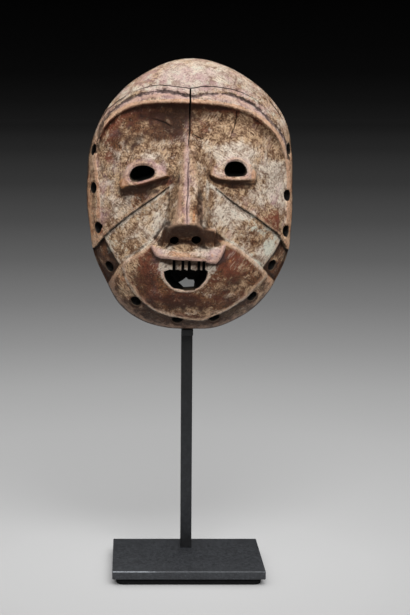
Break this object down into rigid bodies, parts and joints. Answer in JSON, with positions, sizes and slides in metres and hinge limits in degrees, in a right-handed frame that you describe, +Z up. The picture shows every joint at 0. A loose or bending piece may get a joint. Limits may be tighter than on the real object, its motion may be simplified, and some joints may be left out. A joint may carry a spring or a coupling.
{
  "type": "miniature carved wooden mask on a stand",
  "caption": "Small oval carved wooden mask with a pierced rim, recessed face and open mouth, held on a square steel rod with a flat steel base",
  "frame": {"origin": "middle of the underside of the felt pad", "axes": "+Z up along the rod, -Y the way the face looks, +X to the right of someone facing it"},
  "size_m": [0.1084, 0.0658, 0.2726],
  "materials": {
    "carved_wood": "old carved wood with a worn brown patina, reddish where handled, and remains of pale kaolin in the recesses",
    "black_steel": "matt black paint on mild steel, worn to bare metal along the front edge of the plate",
    "black_felt": "black felt glued under the plate"
  },
  "bodies": {
    "root": {"mask": "carved_wood", "stand_rod": "black_steel", "base_plate": "black_steel", "felt_pad": "black_felt"}
  },
  "joints": []
}
